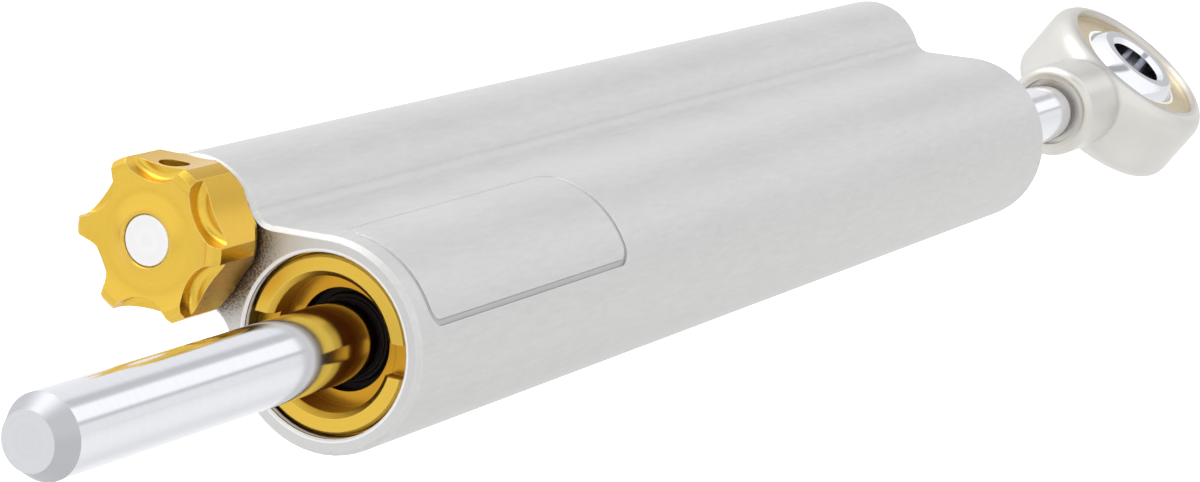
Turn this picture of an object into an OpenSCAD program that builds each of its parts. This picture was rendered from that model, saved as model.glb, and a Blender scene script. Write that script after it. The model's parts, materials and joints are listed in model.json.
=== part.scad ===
// Steering damper: a rod runs right through a twin-tube body, the side tube holds the adjuster.
// Frame: X runs along the rod towards the rod end, Z is up, the origin is the middle of the main tube.
// Angles round an X axis count from +Y towards +Z. Stations named *_at count from the front face.

/* [Body] */
// Length of the body
body_len = 204; // [190:1:230]
// Outer diameter of the main tube, the size of its clamp
tube_d = 27; // [26:0.5:30]
// Outer diameter of the side tube
side_d = 18.3; // [17.5:0.1:21]
// Distance from the main axis to the side axis
side_offset = 22.2; // [21:0.1:25]
// Direction of the side tube from the main tube
side_angle = 35.6; // [25:0.2:50]
// Slope of the flat on top of the web
web_slope = 4; // [0:0.5:8]
// Fillet between the flat of the web and the side tube
web_fillet = 2.5; // [1.5:0.1:4]
// Fillet between the tubes under the web
under_fillet = 5; // [3:0.5:8]
// Chamfer on the end edges of the body
edge_chamfer = 0.6; // [0.2:0.1:0.8]
// Chamfer at the mouths of the main bore
bore_chamfer = 0.25; // [0.1:0.05:0.4]
// Bore that the piston runs in
bore_d = 22; // [20:0.2:22.4]
// Wider bore at each end for the seal head
gland_bore_d = 22.8; // [22.6:0.1:24]
// Bore of the side tube
side_bore_d = 13; // [12.6:0.1:13.6]
// Oil port between the two bores
port_d = 3; // [2:0.1:3.6]

/* [Panel] */
// Distance from the front face to the panel that a groove marks out
panel_at = 3.5; // [3:0.1:20]
// Length of the panel
panel_len = 51.2; // [30:0.1:80]
// Width of the panel
panel_w = 16.8; // [10:0.1:18]
// Width of the groove round the panel
panel_line = 0.7; // [0.4:0.05:1]
// Depth of the groove along the lower edge, from where it fades out towards the crown
panel_depth = 0.3; // [0.2:0.05:0.6]
// Corner radius of the panel
panel_corner = 2.2; // [1.4:0.1:4]
// Direction that the panel faces
panel_angle = 130; // [120:1:200]

/* [Rod] */
// Diameter of the rod
rod_d = 10; // [9:0.1:10.4]
// How far the rod stands out of the front face
rod_front = 59; // [50:0.1:80]
// Radial size of the chamfer on the free end
rod_chamfer = 1.5; // [0.4:0.1:2]
// Length of that chamfer
rod_chamfer_len = 2.7; // [0.4:0.1:4]
// Diameter of the thread that holds the rod end
rod_thread_d = 8; // [6:0.5:8.4]
// Length of that thread
rod_thread_len = 14; // [10:0.5:15]

/* [Gland] */
// How deep the lock ring sits below the end face
ring_recess = 0.8; // [0.5:0.1:2]
// Thickness of the lock ring
ring_t = 4; // [3:0.1:6]
// Diameter of the lock ring's visible rim
ring_rim_d = 22.2; // [21:0.1:22.6]
// Chamfer on that rim
ring_chamfer = 0.45; // [0.2:0.05:1]
// Hole in the lock ring
ring_hole_d = 16.7; // [14:0.1:18]
// Chamfer on the edge of that hole
ring_hole_chamfer = 0.7; // [0.2:0.05:0.9]
// Width of the spanner slots
slot_w = 4.2; // [2:0.1:5]
// Depth of the spanner slots
slot_depth = 2.2; // [1:0.1:2.8]
// Direction of the spanner slots
slot_angle = 7; // [-90:1:90]
// Length of the seal head
head_len = 18.7; // [17:0.1:24]
// Hole in the face of the seal head
head_hole_d = 12.8; // [12:0.1:14]
// How deep the wiper sits below the face of the seal head
wiper_sink = 1.2; // [0.4:0.1:1.4]
// Length of the wiper
wiper_len = 3; // [2:0.1:4]
// Outer diameter of the rod seal
seal_d = 15; // [14:0.1:17]
// Length of the rod seal
seal_len = 3.6; // [2:0.1:4]
// Outer diameter of the rod bush
bush_d = 12; // [11.5:0.1:14]
// Length of the rod bush
bush_len = 8; // [5:0.1:9]
// Cord of the O-rings on the seal heads
head_cord = 1.8; // [1:0.1:2]

/* [Piston] */
// Distance from the front face to the middle of the piston
piston_at = 92; // [80:1:110]
// Length of the piston
piston_len = 14; // [10:0.5:18]
// Width of the piston ring
band_w = 4; // [2:0.1:6]
// Radial depth of the piston ring
band_t = 1.5; // [1:0.1:2]
// Thickness of the clips that hold the piston
clip_t = 1.2; // [0.8:0.1:1.6]
// Outer diameter of those clips
clip_d = 13.4; // [12:0.1:16]
// Depth of the clip grooves in the rod
clip_groove = 0.8; // [0.4:0.1:1.2]

/* [Rod end] */
// Distance from the body's back face to the neck of the rod end
neck_gap = 37; // [30:0.5:60]
// Distance from the neck's face to the middle of the eye
neck_len = 31.6; // [31:0.1:40]
// Diameter of the neck
neck_d = 16; // [13:0.1:18]
// Diameter that the neck tapers to where it runs into the eye
neck_waist_d = 13.4; // [12:0.1:15]
// Rounding of the neck's edge
neck_round = 1.6; // [0.4:0.1:2]
// Depth of the recess that the rod enters
neck_recess = 1.6; // [0.5:0.1:2]
// Radial gap round the rod in that recess
neck_clear = 0.8; // [0.3:0.1:1.2]
// Outer diameter of the eye
eye_d = 33.2; // [32:0.1:36]
// Width of the eye
eye_w = 15.2; // [14:0.1:18]
// Rounding of the eye's edges
eye_round = 3.4; // [1:0.1:4]
// Direction of the eye's bore
eye_angle = 130; // [0:1:180]
// Wall of the race round the middle of its seat
race_wall = 1.9; // [1.4:0.1:2.4]
// Width of the race
race_w = 12.4; // [10:0.1:13]
// Diameter of the ball
ball_d = 22; // [20.5:0.1:22.2]
// Width of the ball
ball_w = 16.4; // [15:0.1:18]
// Bore of the ball
ball_bore_d = 10; // [6:0.1:11]
// Chamfer at the mouths of the ball's bore
ball_chamfer = 0.8; // [0.2:0.1:1.2]
// Thickness of the liner round the ball
liner_t = 0.5; // [0.3:0.05:0.7]

/* [Knob] */
// Length of the knob
knob_len = 10; // [9:0.1:14]
// Gap between the knob and the body
knob_gap = 0.5; // [0.4:0.1:0.7]
// Diameter over the lobes
knob_d = 20.6; // [19:0.1:22]
// Diameter between the floors of the flutes
knob_core_d = 17.7; // [17:0.1:18.4]
// Radius of the flutes between the lobes
flute_r = 19; // [15:0.5:30]
// Number of lobes
lobes = 6; // [5:1:8]
// Direction of the first lobe
lobe_angle = 7; // [0:1:59]
// Diameter of the knob's back rim
knob_rim_d = 18.6; // [16:0.1:18.8]
// Length of that rim
knob_rim_len = 0.4; // [0.2:0.1:0.8]
// Length of the taper from the lobes down to the rim
knob_taper = 1.6; // [0.3:0.1:2.4]
// Chamfer on the front of the lobes
lobe_chamfer = 0.7; // [0.2:0.1:1]
// Radius of the finger scallops
scallop_r = 5; // [4:0.1:6]
// Distance from the knob's axis to the axis of a scallop
scallop_offset = 12.1; // [11.6:0.1:14]
// Depth of the scallops
scallop_depth = 2.6; // [1:0.1:2.7]
// Rounding at the foot of the scallops
scallop_round = 0.9; // [0.2:0.1:0.9]
// Diameter of the boss round the spindle
boss_d = 7.4; // [7:0.1:9]
// Width of the dish round the boss
dish_w = 5; // [4:0.1:5.6]
// Depth of that dish
dish_depth = 0.7; // [0.3:0.1:1]
// Diameter of the grub screw that holds the knob
screw_d = 4; // [2.5:0.1:4.4]
// Length of the grub screw
screw_len = 4.4; // [3:0.1:5]
// Distance from the knob's back to the grub screw
screw_at = 5.2; // [4:0.1:5.4]

/* [Adjuster] */
// Diameter of the spindle
spindle_d = 6.4; // [6:0.1:6.6]
// Length of the spindle inside the body
spindle_in = 14; // [13:0.1:15]
// Gap between the spindle's end and the guide in the housing
spindle_gap = 0.8; // [0.6:0.1:1.4]
// Diameter of the spindle's collar
collar_d = 9; // [8:0.1:9.4]
// Thickness of the spindle's collar
collar_t = 3; // [2:0.1:4]
// Depth of the collar's seat in the housing
collar_at = 7; // [6.5:0.1:7.6]
// Thickness of the clip that keeps the spindle in
spindle_clip_t = 0.9; // [0.6:0.1:1.2]
// Cord of the small O-rings
small_cord = 1.2; // [0.8:0.1:1.3]
// Length of the adjuster housing
housing_len = 20; // [19:0.1:21]
// Number of clicks in a full turn
clicks = 24; // [12:1:30]
// Radius of the ring of click dimples
click_r = 5.4; // [5.2:0.05:5.5]
// Diameter of the detent balls
detent_d = 1.6; // [1:0.1:1.7]
// Depth of the click dimples
dimple_depth = 0.3; // [0.1:0.05:0.4]
// Curls of each detent spring
spring_curls = 5; // [3:1:8]
// Wire of each detent spring
spring_wire = 0.26; // [0.2:0.02:0.3]
// Width across the flats of the needle's guide
needle_flats = 5; // [4:0.1:5.2]
// Diameter of the needle's thread
needle_thread_d = 3; // [2:0.1:3.4]
// Length of the needle ahead of its guide
needle_nose = 11; // [10:0.1:13]
// Diameter of the needle's nose
needle_nose_d = 4; // [3:0.1:4.4]
// Orifice of the metering jet
jet_hole_d = 3; // [2:0.1:4]
// Length of the metering jet
jet_len = 6; // [4:0.1:9]
// Distance from the front face to the metering jet
jet_at = 30; // [29.5:0.1:34]
// How far the needle's tip reaches into the jet
needle_entry = 3; // [2.5:0.1:4]

/* [Reservoir] */
// Length of the floating piston
floater_len = 6; // [5:0.1:8]
// Distance from the back face to the floating piston
floater_at = 14; // [13.8:0.1:14.6]
// Length of the reservoir plug
plug_len = 6; // [5:0.1:7]
// How deep the plug sits below the back face
plug_recess = 0.8; // [0.4:0.1:1.2]
// Cord of the O-rings in the reservoir
reservoir_cord = 1.6; // [1:0.1:1.8]
// Diameter of the fill screw
fill_d = 5; // [3:0.1:6]

/* [Fits] */
// Radial clearance of pieces that slide or turn
running_clear = 0.05; // [0.02:0.01:0.08]
// Radial clearance of pieces that stay put
seat_clear = 0.03; // [0.01:0.01:0.06]
// Axial play beside clips and rings
side_play = 0.1; // [0.05:0.05:0.2]

/* [Hidden] */
$fn = 96;

// Colours of the finishes
satin_grey = [0.78, 0.78, 0.77];
gold = [0.87, 0.66, 0.22];
chrome_grey = [0.80, 0.81, 0.83];
nickel = [0.82, 0.80, 0.76];
steel_grey = [0.60, 0.61, 0.63];
bronze = [0.72, 0.56, 0.34];
brass = [0.78, 0.63, 0.30];
rubber_black = [0.05, 0.05, 0.05];
liner_white = [0.90, 0.89, 0.85];

// Body stations and section
front_x = -body_len / 2;
back_x = body_len / 2;
tube_r = tube_d / 2;
side_r = side_d / 2;
side_y = side_offset * cos(side_angle);
side_z = side_offset * sin(side_angle);
side_centre = [side_y, side_z];

// Small overlaps that make surfaces cross where they would only touch
fillet_bite = 0.02;
flat_dip = 0.02;
edge_lap = 1.5;
edge_step = 0.04;

// Upper web: a flat just under the crown of the main tube, with a fillet up to the side tube
flat_dir = [cos(web_slope), sin(web_slope)];
flat_up = [-sin(web_slope), cos(web_slope)];
flat_h = tube_r - flat_dip;
side_along = side_centre * flat_dir;
side_above = side_centre * flat_up - flat_h;
fillet_reach = sqrt(pow(side_r + web_fillet, 2) - pow(side_above - web_fillet, 2));
web_start = flat_up * flat_h;
web_foot = web_start + flat_dir * (side_along - fillet_reach);
web_centre = web_foot + flat_up * web_fillet;

// Lower web: a fillet tangent to both tubes
axis_dir = [cos(side_angle), sin(side_angle)];
axis_right = [sin(side_angle), -cos(side_angle)];
under_main = tube_r + under_fillet;
under_side = side_r + under_fillet;
under_along = (pow(under_main, 2) - pow(under_side, 2) + pow(side_offset, 2)) / (2 * side_offset);
under_across = sqrt(pow(under_main, 2) - pow(under_along, 2));
under_centre = axis_dir * under_along + axis_right * under_across;

// Gland stations
ring_at = ring_recess;
head_at = ring_at + ring_t;
gland_end_at = head_at + head_len;
wiper_at = head_at + wiper_sink;
seal_at = wiper_at + wiper_len + 0.6;
bush_at = gland_end_at - bush_len - 0.4;
rod_r = rod_d / 2;
rod_hole_r = rod_r + running_clear;
gland_r = gland_bore_d / 2 - seat_clear;
head_groove_at = head_at + head_len * 0.6;

// Port stations, one into each oil chamber
front_port_at = gland_end_at + port_d / 2 + 0.8;
back_port_at = body_len - front_port_at;

// Rod end stations
neck_x = back_x + neck_gap;
eye_x = neck_x + neck_len;
rod_end_x = neck_x + neck_recess;
liner_r = ball_d / 2 + running_clear;
race_ball_r = liner_r + liner_t + running_clear;
race_r = race_ball_r + race_wall;

// Knob and adjuster stations
knob_back_x = front_x - knob_gap;
knob_front_x = knob_back_x - knob_len;
valley_angle = lobe_angle + 540 / lobes;
spindle_r = spindle_d / 2;
spindle_hole_r = spindle_r + running_clear;
housing_r = side_bore_d / 2 - seat_clear;
clip_at = collar_at - collar_t - side_play - spindle_clip_t;
clip_groove_r = collar_d / 2 + 0.5;
spindle_groove_at = collar_at + 1.6;
housing_groove_at = housing_len * 0.65;
small_groove_w = small_cord * 1.3;
detent_hole_r = detent_d / 2 + running_clear;
detent_x = front_x - detent_d / 2 - running_clear;
detent_hole_x = knob_back_x - 4.8;
guide_at = spindle_in + spindle_gap;
needle_guide_at = guide_at + 0.6;
needle_end = jet_at + needle_entry;
needle_guide_end = needle_end - needle_nose;

// Reservoir stations
floater_x = back_x - floater_at - floater_len / 2;
plug_x = back_x - plug_recess - plug_len / 2;
plug_groove_x = plug_x - plug_len * 0.15;

// Turned piece about the X axis from [radius, station] points
module turned(points) {
    rotate([0, 90, 0])
        rotate_extrude()
            polygon(points);
}

// Solid or hollow cylinder about the X axis, from station a to station b
module tube_x(a, b, outer_r, inner_r = 0) {
    turned([[inner_r, a], [outer_r, a], [outer_r, b], [inner_r, b]]);
}

// Ring of round section about the X axis
module ring_x(at, mid_r, cord) {
    rotate([0, 90, 0])
        rotate_extrude()
            translate([mid_r, at])
                circle(d = cord, $fn = 32);
}

// Flat section across the X axis, from station a to station b
module section_x(a, b) {
    translate([a, 0, 0])
        rotate([90, 0, 90])
            linear_extrude(b - a)
                children();
}

// Children moved to the side axis
module on_side() {
    translate([0, side_y, side_z])
        children();
}

// Children moved so that station 0 is the front face
module from_front() {
    translate([front_x, 0, 0])
        children();
}

// Children mirrored to the back of the body
module at_back() {
    mirror([1, 0, 0])
        children();
}

// Round cut along the whole body about a point of its section
module fillet_cut(centre, r) {
    translate([0, centre[0], centre[1]])
        tube_x(front_x - 1, back_x + 1, r + fillet_bite);
}

// The two tubes and the web between them, still without bores
module body_blank() {
    difference() {
        union() {
            tube_x(front_x, back_x, tube_r);
            on_side() tube_x(front_x, back_x, side_r);
            section_x(front_x, back_x)
                polygon([[0, 0], web_start, web_foot, web_centre, side_centre, under_centre]);
        }
        fillet_cut(web_centre, web_fillet);
        fillet_cut(under_centre, under_fillet);
    }
}

// Wedge of the section between two angles, as seen from a centre
module sector(centre, from, to, reach) {
    steps = ceil((to - from) / 60);
    translate(centre)
        polygon(concat([[0, 0]], [
            for (i = [0 : steps])
                let (a = from + (to - from) * i / steps)
                    [reach * cos(a), reach * sin(a)]
        ]));
}

// Chamfer cut on a round outer edge at the front face, between two angles
module outer_edge_cut(centre, r, from, to) {
    intersection() {
        translate([0, centre[0], centre[1]])
            turned([[r - edge_chamfer - 1, -1], [r + 2, -1], [r + 2, edge_chamfer + 2]]);
        section_x(-1, edge_chamfer + 2)
            sector(centre, from - edge_lap, to + edge_lap, 2 * r);
    }
}

// Chamfer cut on a fillet's edge at the front face, between two angles
module fillet_edge_cut(centre, r, from, to) {
    cut_r = r - edge_step;
    depth = edge_chamfer + 0.5;
    intersection() {
        translate([0, centre[0], centre[1]])
            turned([[0, -1], [cut_r + edge_chamfer + 1, -1], [cut_r - 0.5, depth], [0, depth]]);
        section_x(-1, depth)
            sector(centre, from - edge_lap, to + edge_lap, 3 * r);
    }
}

// Chamfer cut along the flat of the web at the front face
module flat_edge_cut() {
    intersection() {
        rotate([web_slope, 0, 0])
            translate([0, 0, flat_h - edge_chamfer])
                rotate([0, -45, 0])
                    translate([-5, -tube_r, 0])
                        cube([10, 2 * tube_d, 5]);
        section_x(-1, edge_chamfer + 1)
            polygon([web_start - flat_up, web_foot - flat_up, web_foot + flat_up, web_start + flat_up]);
    }
}

function angle_to(a, b) = atan2(b[1] - a[1], b[0] - a[0]);

// All chamfer cuts of the front face
module front_edge_cuts() {
    under_from_main = angle_to([0, 0], under_centre);
    under_from_side = angle_to(side_centre, under_centre);
    web_from_side = angle_to(side_centre, web_centre);
    crown = 90 + web_slope - acos(flat_h / tube_r);
    outer_edge_cut([0, 0], tube_r, crown, 360 + under_from_main);
    outer_edge_cut(side_centre, side_r, under_from_side, web_from_side);
    fillet_edge_cut(web_centre, web_fillet, web_slope - 90, web_from_side - 180);
    fillet_edge_cut(under_centre, under_fillet, 180 + under_from_side, 180 + under_from_main);
    flat_edge_cut();
}

// Chamfer cut at the mouth of the main bore
module bore_mouth_cut() {
    mouth_r = gland_bore_d / 2 + bore_chamfer;
    turned([[0, -1], [mouth_r + 1, -1], [mouth_r - 1, 1], [0, 1]]);
}

// All cuts at the front end of the body
module front_end_cuts() {
    front_edge_cuts();
    bore_mouth_cut();
    tube_x(-1, gland_end_at, gland_bore_d / 2);
}

// Rounded rectangle, centred
module rounded_rect(length, width, corner) {
    square([length - 2 * corner, width], center = true);
    square([length, width - 2 * corner], center = true);
    for (x = [-1, 1], y = [-1, 1])
        translate([x * (length / 2 - corner), y * (width / 2 - corner)])
            circle(r = corner, $fn = 48);
}

// Groove round the panel: its floor is the main tube moved sideways, so that it fades out at the crown
module panel_cut() {
    deepest = panel_angle + 45;
    inner = 2 * panel_line;
    difference() {
        rotate([panel_angle - 90, 0, 0])
            translate([front_x + panel_at + panel_len / 2, 0, tube_r * 0.4])
                difference() {
                    linear_extrude(tube_r)
                        rounded_rect(panel_len, panel_w, panel_corner);
                    linear_extrude(tube_d, center = true)
                        rounded_rect(panel_len - inner, panel_w - inner, panel_corner - panel_line);
                }
        translate([0, -panel_depth * cos(deepest), -panel_depth * sin(deepest)])
            tube_x(front_x, back_x, tube_r);
    }
}

// Oil port through the web between the two bores
module port_cut(at) {
    from_front()
        rotate([side_angle, 0, 0])
            translate([at, bore_d / 4, 0])
                rotate([-90, 0, 0])
                    cylinder(d = port_d, h = side_offset - bore_d / 4, $fn = 32);
}

module body() {
    color(satin_grey)
        difference() {
            body_blank();
            from_front() front_end_cuts();
            at_back() from_front() front_end_cuts();
            panel_cut();
            tube_x(front_x - 1, back_x + 1, bore_d / 2);
            on_side() tube_x(front_x - 1, back_x + 1, side_bore_d / 2);
            port_cut(front_port_at);
            port_cut(back_port_at);
        }
}

// Slotted ring that screws into the end of the main tube
module lock_ring() {
    rim_r = ring_rim_d / 2;
    hole_r = ring_hole_d / 2;
    thread_at = ring_at + slot_depth * 0.6;
    color(gold)
        from_front()
            difference() {
                turned([
                    [hole_r, ring_at + ring_hole_chamfer], [hole_r + ring_hole_chamfer, ring_at],
                    [rim_r - ring_chamfer, ring_at], [rim_r, ring_at + ring_chamfer], [rim_r, thread_at],
                    [gland_r, thread_at], [gland_r, head_at], [hole_r, head_at]
                ]);
                rotate([slot_angle, 0, 0])
                    translate([ring_at - 1, -tube_r, -slot_w / 2])
                        cube([slot_depth + 1, tube_d, slot_w]);
            }
}

// Carrier of the wiper, the rod seal and the rod bush
module seal_head() {
    land_r = rod_r + 0.8;
    color(gold)
        from_front()
            difference() {
                tube_x(head_at, gland_end_at, gland_r, land_r);
                tube_x(head_at - 1, wiper_at + wiper_len, head_hole_d / 2);
                tube_x(seal_at, seal_at + seal_len, seal_d / 2);
                tube_x(bush_at, gland_end_at + 1, bush_d / 2);
                tube_x(head_groove_at - head_cord * 0.65, head_groove_at + head_cord * 0.65, gland_r + 1,
                       gland_r - head_cord);
            }
}

// Wiper with a lip that leans on the rod
module wiper() {
    outer_r = head_hole_d / 2 - seat_clear;
    lip_at = wiper_at + 0.6;
    color(rubber_black)
        from_front()
            turned([
                [rod_hole_r, wiper_at], [rod_hole_r + 0.35, wiper_at], [rod_hole_r + 0.6, lip_at],
                [outer_r, lip_at], [outer_r, wiper_at + wiper_len], [rod_hole_r, wiper_at + wiper_len]
            ]);
}

// Lip seal with a groove on its pressure side
module rod_seal() {
    outer_r = seal_d / 2 - seat_clear;
    mid_r = (outer_r + rod_hole_r) / 2;
    end_at = seal_at + seal_len - side_play;
    color(rubber_black)
        from_front()
            turned([
                [rod_hole_r, seal_at + side_play], [outer_r, seal_at + side_play], [outer_r, end_at],
                [mid_r + 0.4, end_at], [mid_r, end_at - seal_len * 0.4], [mid_r - 0.4, end_at],
                [rod_hole_r, end_at]
            ]);
}

module rod_bush() {
    color(bronze)
        from_front()
            tube_x(bush_at, bush_at + bush_len, bush_d / 2 - seat_clear, rod_hole_r);
}

module head_oring() {
    color(rubber_black)
        from_front()
            ring_x(head_groove_at, gland_bore_d / 2 - seat_clear - head_cord / 2, head_cord - 2 * seat_clear);
}

module rod() {
    groove_r = rod_r - clip_groove;
    thread_r = rod_thread_d / 2;
    free_end = front_x - rod_front;
    piston_x = front_x + piston_at;
    color(chrome_grey)
        difference() {
            turned([
                [0, free_end], [rod_r - rod_chamfer, free_end], [rod_r, free_end + rod_chamfer_len],
                [rod_r, rod_end_x], [thread_r, rod_end_x], [thread_r, rod_end_x + rod_thread_len],
                [0, rod_end_x + rod_thread_len]
            ]);
            for (s = [-1, 1])
                translate([piston_x + s * (piston_len / 2 + clip_t / 2 + side_play), 0, 0])
                    tube_x(-clip_t / 2 - side_play / 2, clip_t / 2 + side_play / 2, rod_r + 1, groove_r);
        }
}

module piston() {
    outer_r = bore_d / 2 - 2 * running_clear;
    groove_r = bore_d / 2 - running_clear - band_t - running_clear;
    color(satin_grey)
        translate([front_x + piston_at, 0, 0])
            difference() {
                tube_x(-piston_len / 2, piston_len / 2, outer_r, rod_r + seat_clear);
                tube_x(-band_w / 2 - side_play, band_w / 2 + side_play, outer_r + 1, groove_r);
            }
}

module piston_ring() {
    outer_r = bore_d / 2 - running_clear;
    color(bronze)
        translate([front_x + piston_at, 0, 0])
            tube_x(-band_w / 2, band_w / 2, outer_r, outer_r - band_t);
}

module piston_clips() {
    color(steel_grey)
        for (s = [-1, 1])
            translate([front_x + piston_at + s * (piston_len / 2 + clip_t / 2 + side_play), 0, 0])
                difference() {
                    tube_x(-clip_t / 2, clip_t / 2, clip_d / 2, rod_r - clip_groove + seat_clear);
                    translate([-clip_t, -rod_r * 0.3, 0])
                        cube([2 * clip_t, rod_r * 0.6, clip_d]);
                }
}

// Children turned so that Y is the axis of the eye's bore, at the middle of the eye
module in_eye() {
    translate([eye_x, 0, 0])
        rotate([eye_angle, 0, 0])
            children();
}

// Section turned about the axis of the eye's bore: x is the radius, y the height
module turned_in_eye() {
    in_eye()
        rotate([-90, 0, 0])
            rotate_extrude()
                children();
}

// Half section of a disc with rounded edges
module rounded_disc(r, half, edge) {
    translate([0, -half]) square([r - edge, 2 * half]);
    translate([0, edge - half]) square([r, 2 * (half - edge)]);
    for (s = [-1, 1])
        translate([r - edge, s * (half - edge)])
            circle(r = edge, $fn = 48);
}

// Half section of a ring with a ball-shaped seat
module seat_section(r, width, seat_r) {
    difference() {
        translate([0, -width / 2]) square([r, width]);
        circle(r = seat_r);
    }
}

// Neck with a rounded front edge, tapered where it runs into the eye
module neck() {
    neck_r = neck_d / 2;
    end = neck_len - race_r;
    taper_at = neck_len - eye_d / 2 - 2;
    translate([neck_x, 0, 0])
        rotate([0, 90, 0])
            rotate_extrude() {
                polygon([
                    [0, 0], [neck_r - neck_round, 0], [neck_r, neck_round], [neck_r, taper_at],
                    [neck_waist_d / 2, end], [0, end]
                ]);
                translate([neck_r - neck_round, neck_round]) circle(r = neck_round, $fn = 48);
            }
}

module rod_end() {
    color(nickel)
        difference() {
            union() {
                turned_in_eye() rounded_disc(eye_d / 2, eye_w / 2, eye_round);
                neck();
            }
            turned_in_eye()
                translate([0, -eye_w])
                    square([race_r + seat_clear, 2 * eye_w]);
            tube_x(neck_x - 1, rod_end_x, rod_r + neck_clear);
            tube_x(neck_x, rod_end_x + rod_thread_len + 0.5, rod_thread_d / 2 + seat_clear);
        }
}

module bearing_race() {
    color(brass)
        turned_in_eye()
            seat_section(race_r, race_w, race_ball_r);
}

module bearing_liner() {
    color(liner_white)
        turned_in_eye()
            intersection() {
                seat_section(race_r, race_w - 2 * side_play, liner_r);
                circle(r = race_ball_r - running_clear);
            }
}

module bearing_ball() {
    bore_r = ball_bore_d / 2;
    mouth_r = bore_r + ball_chamfer;
    half = ball_w / 2;
    color(chrome_grey)
        turned_in_eye()
            intersection() {
                circle(d = ball_d);
                polygon([
                    [mouth_r, -half], [ball_d, -half], [ball_d, half], [mouth_r, half],
                    [bore_r, half - ball_chamfer], [bore_r, ball_chamfer - half]
                ]);
            }
}

// Cutter of one finger scallop, round at its foot
module scallop_cut() {
    foot = scallop_depth - scallop_round;
    rotate([0, 90, 0])
        rotate_extrude($fn = 64) {
            translate([0, -1]) square([scallop_r, foot + 1]);
            translate([0, -1]) square([scallop_r - scallop_round, scallop_depth + 1]);
            translate([scallop_r - scallop_round, foot]) circle(r = scallop_round, $fn = 32);
        }
}

// Knob before the lobes are cut, with a ring-shaped dish in its face
module knob_blank() {
    hole_r = spindle_r + seat_clear;
    lobe_r = knob_d / 2;
    rim_r = knob_rim_d / 2;
    rim_at = knob_len - knob_rim_len;
    dish_r = (pow(dish_w / 2, 2) + pow(dish_depth, 2)) / (2 * dish_depth);
    rotate([0, 90, 0])
        rotate_extrude()
            difference() {
                polygon([
                    [hole_r, 0.25], [hole_r + 0.15, 0], [lobe_r - lobe_chamfer, 0], [lobe_r, lobe_chamfer],
                    [lobe_r, rim_at - knob_taper], [rim_r, rim_at], [rim_r, knob_len], [hole_r, knob_len]
                ]);
                translate([(boss_d + dish_w) / 2, dish_depth - dish_r]) circle(r = dish_r);
            }
}

// Cutter of one flute, along the whole knob
module flute_cut() {
    translate([0, knob_core_d / 2 + flute_r, 0])
        tube_x(-1, knob_len + 1, flute_r);
}

module knob() {
    color(gold)
        on_side()
            translate([knob_front_x, 0, 0])
                difference() {
                    knob_blank();
                    for (i = [0 : lobes - 1])
                        rotate([lobe_angle + (i + 0.5) * 360 / lobes, 0, 0]) {
                            flute_cut();
                            translate([0, scallop_offset, 0]) scallop_cut();
                        }
                    rotate([valley_angle, 0, 0])
                        translate([knob_len - screw_at, 0, 0])
                            rotate([-90, 0, 0])
                                cylinder(d = screw_d - 0.2, h = knob_d, $fn = 48);
                    for (s = [0, 180])
                        rotate([s, 0, 0])
                            translate([detent_hole_x - knob_front_x, click_r, 0])
                                tube_x(0, knob_len, detent_hole_r);
                }
}

module knob_screw() {
    color(steel_grey)
        on_side()
            translate([knob_front_x + knob_len - screw_at, 0, 0])
                rotate([valley_angle, 0, 0])
                    rotate([-90, 0, 0])
                        translate([0, 0, spindle_r + seat_clear])
                            difference() {
                                cylinder(d = screw_d - 0.2 - 2 * seat_clear, h = screw_len, $fn = 48);
                                translate([0, 0, screw_len - 1.6])
                                    cylinder(d = screw_d * 0.5, h = 2, $fn = 6);
                            }
}

module adjuster_spindle() {
    end_at = spindle_in;
    nose = knob_front_x - front_x + 0.2;
    color(satin_grey)
        on_side()
            from_front()
                difference() {
                    turned([
                        [0, nose], [spindle_r - 0.15, nose], [spindle_r, nose + 0.15],
                        [spindle_r, collar_at - collar_t], [collar_d / 2, collar_at - collar_t],
                        [collar_d / 2, collar_at - side_play], [spindle_r, collar_at - side_play],
                        [spindle_r, end_at], [0, end_at]
                    ]);
                    tube_x(collar_at - collar_t, end_at + 1, needle_thread_d / 2 + running_clear);
                    tube_x(spindle_groove_at, spindle_groove_at + small_groove_w, spindle_r + 1,
                           spindle_r - small_cord);
                }
}

module spindle_oring() {
    cord = small_cord - 2 * seat_clear;
    color(rubber_black)
        on_side()
            from_front()
                ring_x(spindle_groove_at + small_groove_w / 2, spindle_r - small_cord / 2, cord);
}

module spindle_clip() {
    color(steel_grey)
        on_side()
            from_front()
                difference() {
                    tube_x(clip_at, clip_at + spindle_clip_t, clip_groove_r - seat_clear, spindle_r + 0.3);
                    translate([clip_at - 1, -1, 0]) cube([3, 2, collar_d]);
                }
}

// Ring of dimples that the detent balls click into
module click_dimples() {
    for (i = [0 : clicks - 1])
        rotate([i * 360 / clicks, 0, 0])
            translate([dimple_depth - detent_d / 2, click_r, 0])
                sphere(d = detent_d, $fn = 24);
}

module adjuster_housing() {
    hex_r = (needle_flats / 2 + running_clear) / cos(30);
    color(brass)
        on_side()
            from_front()
                difference() {
                    tube_x(0, housing_len, housing_r);
                    tube_x(-1, collar_at, collar_d / 2 + running_clear);
                    tube_x(clip_at - side_play / 2, clip_at + spindle_clip_t + side_play / 2, clip_groove_r);
                    tube_x(1, guide_at, spindle_hole_r);
                    translate([1, 0, 0])
                        rotate([0, 90, 0])
                            cylinder(r = hex_r, h = housing_len, $fn = 6);
                    tube_x(housing_groove_at, housing_groove_at + small_groove_w, housing_r + 1,
                           housing_r - small_cord);
                    click_dimples();
                }
}

module housing_oring() {
    cord = small_cord - 2 * seat_clear;
    color(rubber_black)
        on_side()
            from_front()
                ring_x(housing_groove_at + small_groove_w / 2, housing_r - small_cord / 2, cord);
}

// Two detent balls that ride in the back of the knob
module detent_balls() {
    color(steel_grey)
        on_side()
            for (s = [0, 180])
                rotate([s, 0, 0])
                    translate([detent_x, click_r, 0])
                        sphere(d = detent_d, $fn = 32);
}

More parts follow.
